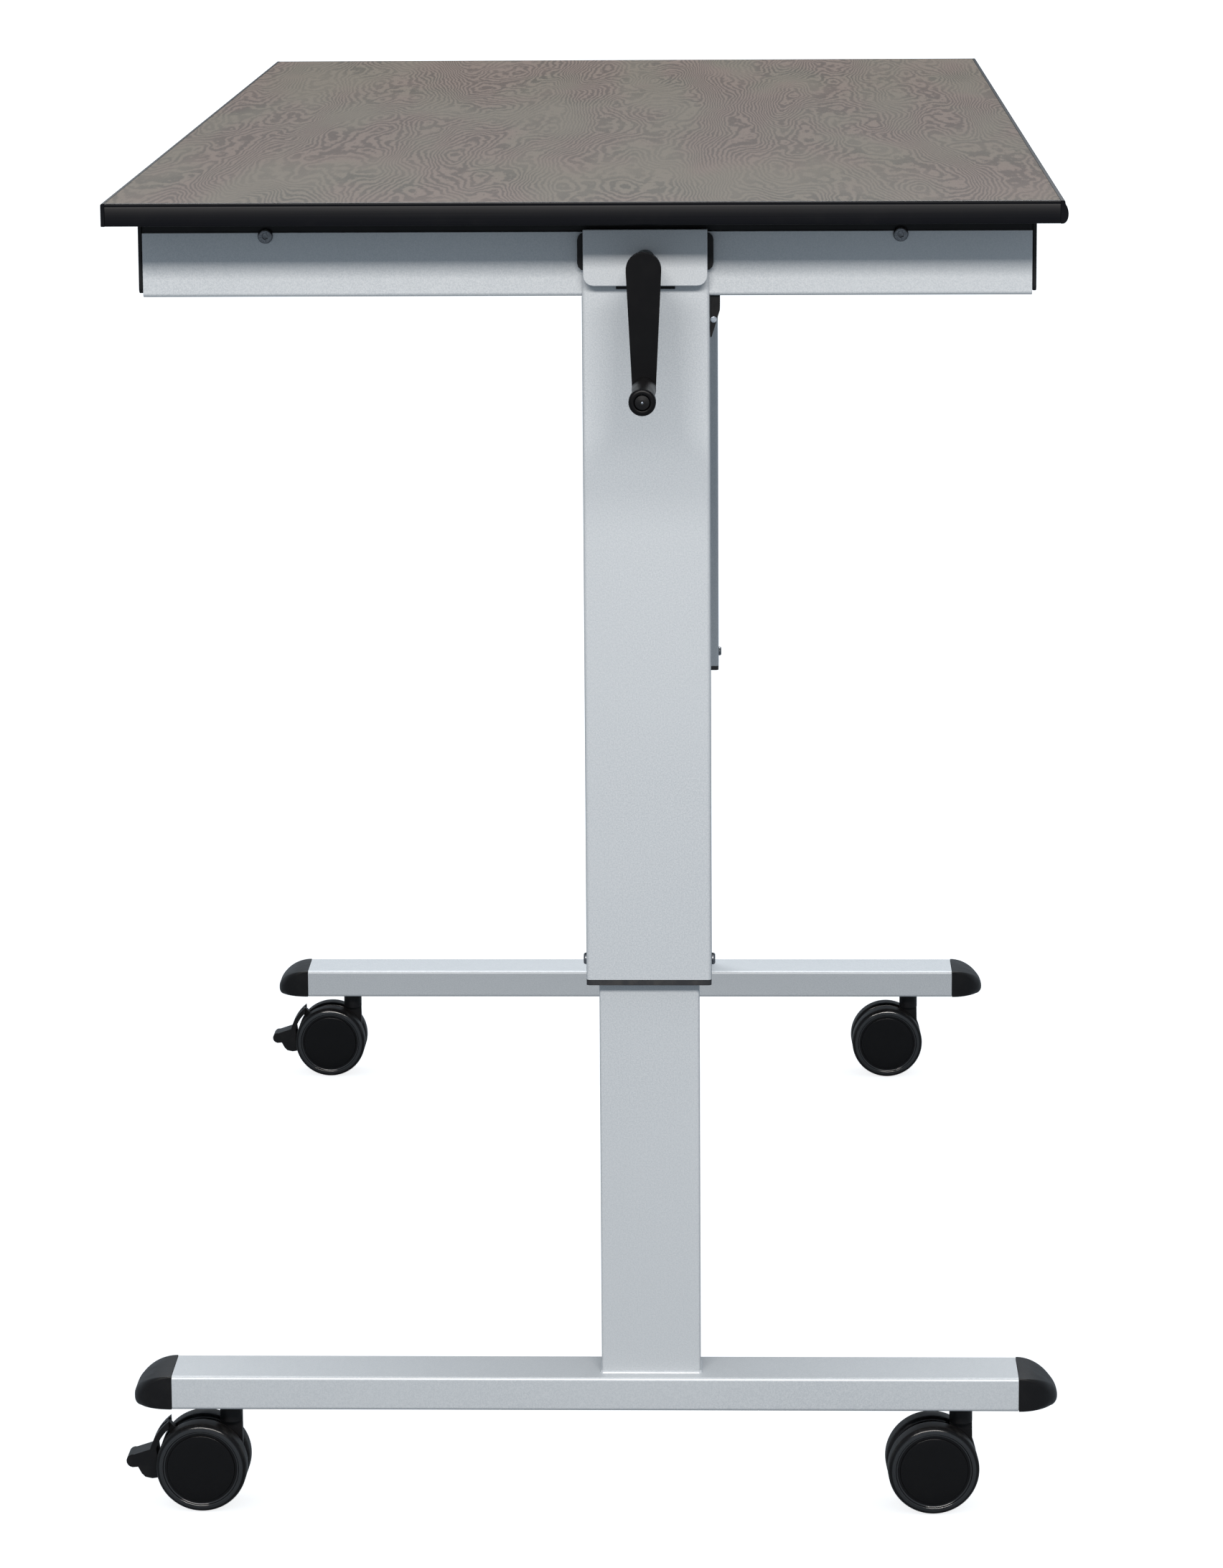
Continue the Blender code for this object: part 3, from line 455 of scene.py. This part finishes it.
def hexagon(radius, height, steps):
    """Ring of points on a hexagon whose corners lie at the radius."""
    ring = []
    for i in range(steps):
        a = 2 * math.pi * i / steps
        from_flat = a % (math.pi / 3) - math.pi / 6
        reach = radius * math.cos(math.pi / 6) / math.cos(from_flat)
        ring.append((reach * math.cos(a), reach * math.sin(a), height))
    return ring


def turned_mesh(profile, steps=64, closed=False):
    """Round shape about local Z through (radius, height) pairs."""
    return loft_mesh([circle(r, z, steps) for r, z in profile], closed)


def facing(direction, place, spin=0.0):
    """Matrix that puts local Z along a direction, at a place, with local X level."""
    z = Vector(direction).normalized()
    side = Vector((0, 0, 1)).cross(z)
    x = side.normalized() if side.length > 1e-6 else Vector((1, 0, 0))
    y = z.cross(x)
    turn = Matrix((x, y, z)).transposed().to_4x4()
    return Matrix.Translation(place) @ turn @ Matrix.Rotation(spin, 4, "Z")


# ---------------------------------------------------------------- hardware

def socket_screw_mesh(radius, height, steps=48):
    """Button head with a hexagon socket. Local Z points out of the head, from its seat."""
    rings = [circle(radius * 0.97, 0.0, steps)]
    rings.append(circle(radius, height * 0.08, steps))
    rings.append(circle(radius, height * 0.25, steps))
    for i in range(1, 7):
        a = math.radians(15 * i)
        reach = radius * (0.70 + 0.30 * math.cos(a))
        rings.append(circle(reach, height * (0.25 + 0.75 * math.sin(a)), steps))
    for share, rise in ((0.46, 1.0), (0.42, 0.92), (0.42, 0.35)):
        rings.append(hexagon(radius * share, height * rise, steps))
    rings.append(circle(radius * 0.05, height * 0.22, steps))
    return loft_mesh(rings)


def hex_bolt_mesh(radius, height, steps=24):
    """Hexagon head with its corners chamfered on the outer face, on a small washer."""
    washer = height * 0.22
    rings = [circle(radius * 1.25, 0.0, steps)]
    rings.append(circle(radius * 1.25, washer * 0.8, steps))
    rings.append(circle(radius * 1.2, washer, steps))
    rings.append(hexagon(radius, washer * 1.02, steps))
    rings.append(hexagon(radius, height * 0.86, steps))
    rings.append(circle(radius * 0.84, height, steps))
    rings.append(circle(radius * 0.10, height, steps))
    return loft_mesh(rings)


def add_arm_screws():
    for side, sign in SIDES.items():
        low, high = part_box("arm_" + side)
        face = high.x if sign > 0 else low.x
        for end, y in ARM_SCREW_Y.items():
            place = (face, DESK_MIDDLE.y + y, high.z - ARM_SCREW_DROP)
            mesh = socket_screw_mesh(ARM_SCREW_RADIUS, ARM_SCREW_HEIGHT)
            matrix = facing((sign, 0, 0), place, 0.35)
            add_piece(f"arm_screw_{side}_{end}", mesh, DARK_ZINC, "desk", matrix)


def add_tube_screws():
    for side in SIDES:
        low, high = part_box("outer_tube_" + side)
        x = (low.x + high.x) / 2
        for end, sign in ENDS.items():
            y = high.y if sign > 0 else low.y
            matrix = facing((0, sign, 0), (x, y, low.z + TUBE_SCREW_RISE), 0.2)
            mesh = socket_screw_mesh(TUBE_SCREW_RADIUS, TUBE_SCREW_HEIGHT)
            add_piece(f"tube_screw_{side}_{end}", mesh, DARK_ZINC, "desk", matrix)


def add_gusset_bolts():
    for side, sign in SIDES.items():
        low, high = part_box("gusset_" + side)
        face = high.x if sign > 0 else low.x
        place = (face, low.y + GUSSET_BOLT_INSET, high.z - GUSSET_BOLT_DROP)
        mesh = hex_bolt_mesh(GUSSET_BOLT_RADIUS, GUSSET_BOLT_HEIGHT)
        matrix = facing((sign, 0, 0), place, 0.4)
        add_piece(f"gusset_bolt_{side}", mesh, ZINC, "desk", matrix)


def tube_outline(half_x, half_y):
    """Points round a tube's corners, each with the direction out of the tube."""
    outline = []
    for quarter, (sx, sy) in enumerate(((1, 1), (-1, 1), (-1, -1), (1, -1))):
        for i in range(7):
            a = math.radians(90 * quarter + 15 * i)
            out = Vector((math.cos(a), math.sin(a), 0))
            corner = Vector((sx * (half_x - WELD_CORNER), sy * (half_y - WELD_CORNER), 0))
            outline.append((corner + out * WELD_CORNER, out))
    return outline


def weld_path(outline):
    """The outline with its straight stretches filled in, point by point."""
    path = []
    for (here, out), (there, next_out) in zip(outline, outline[1:] + outline[:1]):
        steps = max(1, int((there - here).length / WELD_STEP))
        for step in range(steps):
            share = step / steps
            path.append((here.lerp(there, share), out.lerp(next_out, share).normalized()))
    return path


def add_weld_beads():
    """Fillet weld round the foot of each inner tube, under the paint."""
    for side in SIDES:
        low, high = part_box("inner_tube_" + side)
        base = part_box("foot_" + side)[1].z
        foot = (low + high) / 2
        foot.z = base
        sections = []
        path = weld_path(tube_outline((high.x - low.x) / 2, (high.y - low.y) / 2))
        for i, (at, out) in enumerate(path):
            size = WELD_SIZE + WELD_RIPPLE * math.sin(i * 2.1) + WELD_RIPPLE * 0.7 * math.sin(i * 0.37)
            section = []
            for reach, rise in WELD_SECTION:
                point = foot + at + out * reach * size
                section.append((point.x, point.y, base + rise * size))
            sections.append(section)
        mesh = loft_mesh(sections, closed=True)
        body = BODY_OF["foot_" + side]
        add_piece(f"weld_bead_{side}", mesh, SILVER, body, sharp=50)


# ---------------------------------------------------------------- finer shapes of visible parts

def band_mesh(outline, start, end, along):
    """Strip of one outline between two places along X or Y. Outline is (out, up) pairs."""
    rings = []
    for place in (start, end):
        if along == "x":
            rings.append([(place, out, up) for out, up in outline])
        else:
            rings.append([(out, place, up) for out, up in outline])
    return loft_mesh(rings)


def arc(centre, radius, start, end, steps):
    """Points on a circle, or on an ellipse when the radius is a pair, between two angles."""
    across, up = radius if isinstance(radius, tuple) else (radius, radius)
    angles = [math.radians(start + (end - start) * i / steps) for i in range(steps + 1)]
    return [(centre[0] + across * math.cos(a), centre[1] + up * math.sin(a)) for a in angles]


def front_band_outline(low, high):
    """Square strip, its two outer edges just taken off."""
    lip = 0.0013
    outline = arc((low.y + lip, high.z - lip), lip, 180, 90, 6)
    outline += [(high.y, high.z), (high.y, low.z)]
    outline += arc((low.y + lip * 0.6, low.z + lip * 0.6), lip * 0.6, 270, 180, 4)
    return outline


def rear_band_outline(low, high):
    """Rounded strip, fullest below its middle."""
    bulge = high.y
    outline = [(low.y, low.z), (low.y, high.z)]
    outline += arc((bulge - 0.0038, high.z - 0.0012), 0.0012, 90, 25, 4)
    outline += arc((bulge - 0.0060, low.z + 0.0072), (0.0060, 0.0100), 52, 0, 7)
    outline += arc((bulge - 0.0044, low.z + 0.0072), (0.0044, 0.0072), -8, -90, 9)
    return outline


def end_band_outline(low, high, sign):
    """Square strip with a small bead along its upper edge."""
    outer, inner = (high.x, low.x) if sign > 0 else (low.x, high.x)
    bead = 0.0012
    outline = [(inner, low.z), (inner, high.z)]
    for across, up in arc((-bead, -bead), bead, 90, -35, 8):
        outline.append((outer + sign * across, high.z + up))
    outline.append((outer - sign * 0.0005, high.z - 0.0026))
    outline.append((outer - sign * 0.0001, high.z - 0.0034))
    for across, up in arc((-0.0009, 0.0009), 0.0008, 0, -90, 4):
        outline.append((outer + sign * across, low.z + up))
    return outline


def replace_edge_bands():
    for end, outline_of in (("front", front_band_outline), ("rear", rear_band_outline)):
        node = "edge_band_" + end
        low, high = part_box(node)
        mesh = band_mesh(outline_of(low, high), low.x, high.x, "x")
        add_piece("edge_strip_" + end, mesh, EDGING, "desk", replaces=node)
    for side, sign in SIDES.items():
        node = "edge_band_" + side
        low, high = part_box(node)
        mesh = band_mesh(end_band_outline(low, high, sign), low.y, high.y, "y")
        add_piece("edge_strip_" + side, mesh, EDGING, "desk", replaces=node)


def rounded_rectangle(width, height, corner, steps=8):
    x = width / 2 - corner
    y = height / 2 - corner
    points = arc((x, -y), corner, -90, 0, steps)
    points += arc((x, y), corner, 0, 90, steps)
    points += arc((-x, y), corner, 90, 180, steps)
    points += arc((-x, -y), corner, 180, 270, steps)
    return points


def foot_nose_rings(low, high, sign, fullness, sections=30):
    """Sections of a foot's nose: the top falls as a quarter ellipse while the sides close in."""
    base = low.y if sign > 0 else high.y
    centre = (low.x + high.x) / 2
    length = high.y - low.y
    width = high.x - low.x
    height = high.z - low.z
    shoulder = FOOT_CAP_SHOULDER
    rings = []
    for i in range(sections + 1):
        along = min(math.sin(math.radians(90 * i / sections)), 0.9995)
        half = width / 2 * (1 - along ** fullness) ** (1 / fullness)
        top = shoulder + (height - shoulder) * math.sqrt(1 - along ** 2)
        nose = max(0.0, (along * length - length + shoulder) / shoulder)
        bottom = shoulder * (1 - math.sqrt(1 - nose ** 2))
        corner = min(0.0012 + 0.011 * along ** 2, 0.45 * (top - bottom), 0.9 * half)
        y = base + sign * along * length
        section = rounded_rectangle(2 * half, top - bottom, corner)
        rings.append([(centre + x, y, low.z + z + (top + bottom) / 2) for x, z in section])
    return rings


def replace_foot_caps():
    for side in SIDES:
        for end, sign in ENDS.items():
            node = f"foot_cap_{side}_{end}"
            low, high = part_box(node)
            mesh = loft_mesh(foot_nose_rings(low, high, sign, FOOT_CAP_FULLNESS[end]))
            add_piece(f"foot_nose_{side}_{end}", mesh, BLACK, BODY_OF[node],
                      replaces=node, sharp=50)


def wheel_profile(rim, inner, outer):
    """Radius and distance from the caster's middle, from a wheel's inner face to its outer face."""
    profile = [(0.0031, inner), (rim - 0.0040, inner)]
    profile += arc((rim - 0.0040, inner + 0.0040), 0.0040, -80, 0, 7)
    profile += arc((rim - 0.0050, outer - 0.0046), (0.0050, 0.0046), 0, 78, 10)
    lip = rim - 0.0056
    profile += arc((lip + 0.0002, outer - 0.0007), 0.0007, 70, 180, 6)
    profile += arc((lip - 0.0022, outer - 0.0013), (0.0014, 0.0004), 0, -90, 4)
    profile += [(lip - 0.0038, outer - 0.0017)]
    profile += arc((lip - 0.0046, outer - 0.0010), 0.0005, 0, 90, 3)
    profile += [(0.0200, outer - 0.00048), (0.0060, outer - 0.00042), (0.0010, outer - 0.00040)]
    return profile


def replace_wheels():
    """Twin wheels turned in one piece with their axle, finer than the CAD's."""
    joints = {joint["child"]: joint for joint in frame["joints"]}
    for side in SIDES:
        for end in ENDS:
            node = f"caster_wheels_{side}_{end}"
            joint = joints[BODY_OF[node]]
            half = wheel_profile(WHEEL_RADIUS, WHEEL_INNER, WHEEL_OUTER)
            mirrored = [(radius, -along) for radius, along in half]
            mesh = turned_mesh(mirrored[::-1] + half, 96)
            matrix = facing(joint["axis"], joint["pos_m"])
            add_piece(f"wheels_{side}_{end}", mesh, WHEEL, BODY_OF[node], matrix, node, 38)


def replace_grip():
    """Hand grip: slightly waisted, with a rounded collar and a dished end."""
    low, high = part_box("crank_grip")
    centre = (low + high) / 2
    length = high.x - low.x
    bore = 0.0043
    radius = (high.y - low.y) / 2
    profile = [(bore, 0.0)]
    profile += arc((radius - 0.0022, 0.0012), 0.0012, -90, 0, 4)
    waist = radius - 0.0013
    for i in range(13):
        share = i / 12
        dip = 0.0002 * math.sin(math.pi * share)
        profile.append((waist - dip, 0.004 + (length - 0.016) * share))
    profile += arc((radius - 0.0024, length - 0.0095), 0.0024, -60, 0, 5)
    profile += arc((radius - 0.0024, length - 0.0024), 0.0024, 0, 90, 7)
    profile += arc((radius - 0.0034, length - 0.0008), 0.0008, 90, 180, 4)
    profile += [(radius - 0.0046, length - 0.0034), (bore, length - 0.0035)]
    mesh = turned_mesh(profile, closed=True)
    matrix = facing((1, 0, 0), (low.x, centre.y, centre.z))
    add_piece("grip_finished", mesh, CRANK, "grip", matrix, "crank_grip", 40)


def add_grip_screw():
    low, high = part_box("grip_bolt")
    centre = (low + high) / 2
    screw = socket_screw_mesh(GRIP_SCREW_RADIUS, GRIP_SCREW_HEIGHT, 24)
    matrix = facing((1, 0, 0), (high.x - GRIP_SCREW_SUNK, centre.y, centre.z))
    add_piece("grip_screw", screw, ZINC, "drive", matrix)


def soften_parts():
    for side in SIDES:
        soften("head_cover_" + side, 0.0009)
        soften("shaft_bearing_" + side, 0.0006)
        soften("arm_" + side, 0.0005, segments=2)
        soften("outer_tube_" + side, 0.0004, segments=2)
        soften("inner_tube_" + side, 0.0004, segments=2)
        soften("foot_" + side, 0.0004, segments=2)
        for end in ENDS:
            soften(f"arm_cap_{side}_{end}", 0.0007)
            soften(f"caster_body_{side}_{end}", 0.0005)
        soften(f"brake_lever_{side}_front", 0.0012)
    soften("crank_arm", 0.0013, segments=4)


def dress_cad_nodes():
    for name, node in frame["nodes"].items():
        if node.hide_render:
            continue
        node.data.materials.clear()
        node.data.materials.append(material_of(name))


# ---------------------------------------------------------------- stage, light and camera

def add_floor():
    g = Graph("studio_floor")
    mottle = g.noise(0.7, 2.0)
    colour = g.blend(g.span(mottle, 0.3, 0.7), (0.90, 0.90, 0.90), (0.93, 0.93, 0.93))
    g.set(Base_Color=colour, Roughness=0.9, Specular_IOR_Level=0.1)
    g.set(Emission_Color=(1.0, 1.0, 1.0), Emission_Strength=FLOOR_GLOW)
    mesh = bpy.data.meshes.new("floor")
    corners = [(x * FLOOR_REACH, y * FLOOR_REACH, 0) for x, y in ((-1, -1), (1, -1), (1, 1), (-1, 1))]
    mesh.from_pydata(corners, [], [(0, 1, 2, 3)])
    mesh.materials.append(g.material)
    floor = bpy.data.objects.new("floor", mesh)
    bpy.context.scene.collection.objects.link(floor)
    limit_light(floor, "INCLUDE", "floor_reach", floor)
    return floor


def add_world():
    world = bpy.data.worlds.new("studio")
    bpy.context.scene.world = world
    world.use_nodes = True
    background = world.node_tree.nodes["Background"]
    background.inputs["Color"].default_value = (*WORLD_COLOUR, 1.0)
    background.inputs["Strength"].default_value = WORLD_STRENGTH


def limit_light(light, state, name, item):
    """The light, or glowing object, reaches only one object, or all but that one."""
    reached = bpy.data.collections.new(name)
    reached.objects.link(item)
    light.light_linking.receiver_collection = reached
    reached.collection_objects[0].light_linking.link_state = state


def add_softbox(name, elevation, distance, size, power, colour, left_out):
    """Area light aimed at the tabletop's crank edge, which leaves one object unlit."""
    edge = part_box("edge_band_crank")[1]
    rise = math.radians(elevation)
    towards = Vector((math.cos(rise), 0.0, math.sin(rise)))
    data = bpy.data.lights.new(name, "AREA")
    data.shape = "RECTANGLE"
    data.size, data.size_y = size
    data.energy = power
    data.color = colour
    light = bpy.data.objects.new(name, data)
    bpy.context.scene.collection.objects.link(light)
    light.matrix_world = facing(towards, Vector((edge.x, 0.0, edge.z)) + distance * towards)
    limit_light(light, "EXCLUDE", name + "_reach", left_out)


def add_lights(floor):
    add_softbox("key", KEY_ELEVATION, KEY_DISTANCE, KEY_SIZE, KEY_POWER, KEY_COLOUR, floor)
    add_softbox("top", TOP_ELEVATION, TOP_DISTANCE, TOP_SIZE, TOP_POWER, FILL_COLOUR, floor)
    add_softbox("back", BACK_ELEVATION, BACK_DISTANCE, BACK_SIZE, BACK_POWER, FILL_COLOUR, floor)


def turn_pair(first, second, angle):
    """Two directions at right angles, turned by an angle from the first towards the second."""
    c = math.cos(angle)
    s = math.sin(angle)
    return first * c + second * s, second * c - first * s


def add_camera():
    forward = Vector((-1, 0, 0))
    right = Vector((0, 1, 0))
    up = Vector((0, 0, 1))
    forward, right = turn_pair(forward, right, CAMERA_YAW)
    forward, up = turn_pair(forward, up, -CAMERA_PITCH)
    right, up = turn_pair(right, up, CAMERA_ROLL)
    data = bpy.data.cameras.new("camera")
    data.sensor_fit = "VERTICAL"
    data.sensor_height = 36.0
    data.sensor_width = 36.0
    data.lens = CAMERA_LENS
    data.shift_y = CAMERA_SHIFT
    camera = bpy.data.objects.new("camera", data)
    bpy.context.scene.collection.objects.link(camera)
    turn = Matrix((right, up, -forward)).transposed().to_4x4()
    place = Vector((DESK_MIDDLE.x, DESK_MIDDLE.y, 0.0)) + Vector(CAMERA_PLACE)
    camera.matrix_world = Matrix.Translation(place) @ turn
    bpy.context.scene.camera = camera


# ---------------------------------------------------------------- all of it

replace_edge_bands()
replace_foot_caps()
replace_wheels()
replace_grip()
add_grip_screw()
soften_parts()
add_arm_screws()
add_tube_screws()
add_gusset_bolts()
add_weld_beads()
dress_cad_nodes()
add_world()
add_lights(add_floor())
add_camera()
bpy.context.scene.view_settings.view_transform = "Standard"

bpy.context.view_layer.update()
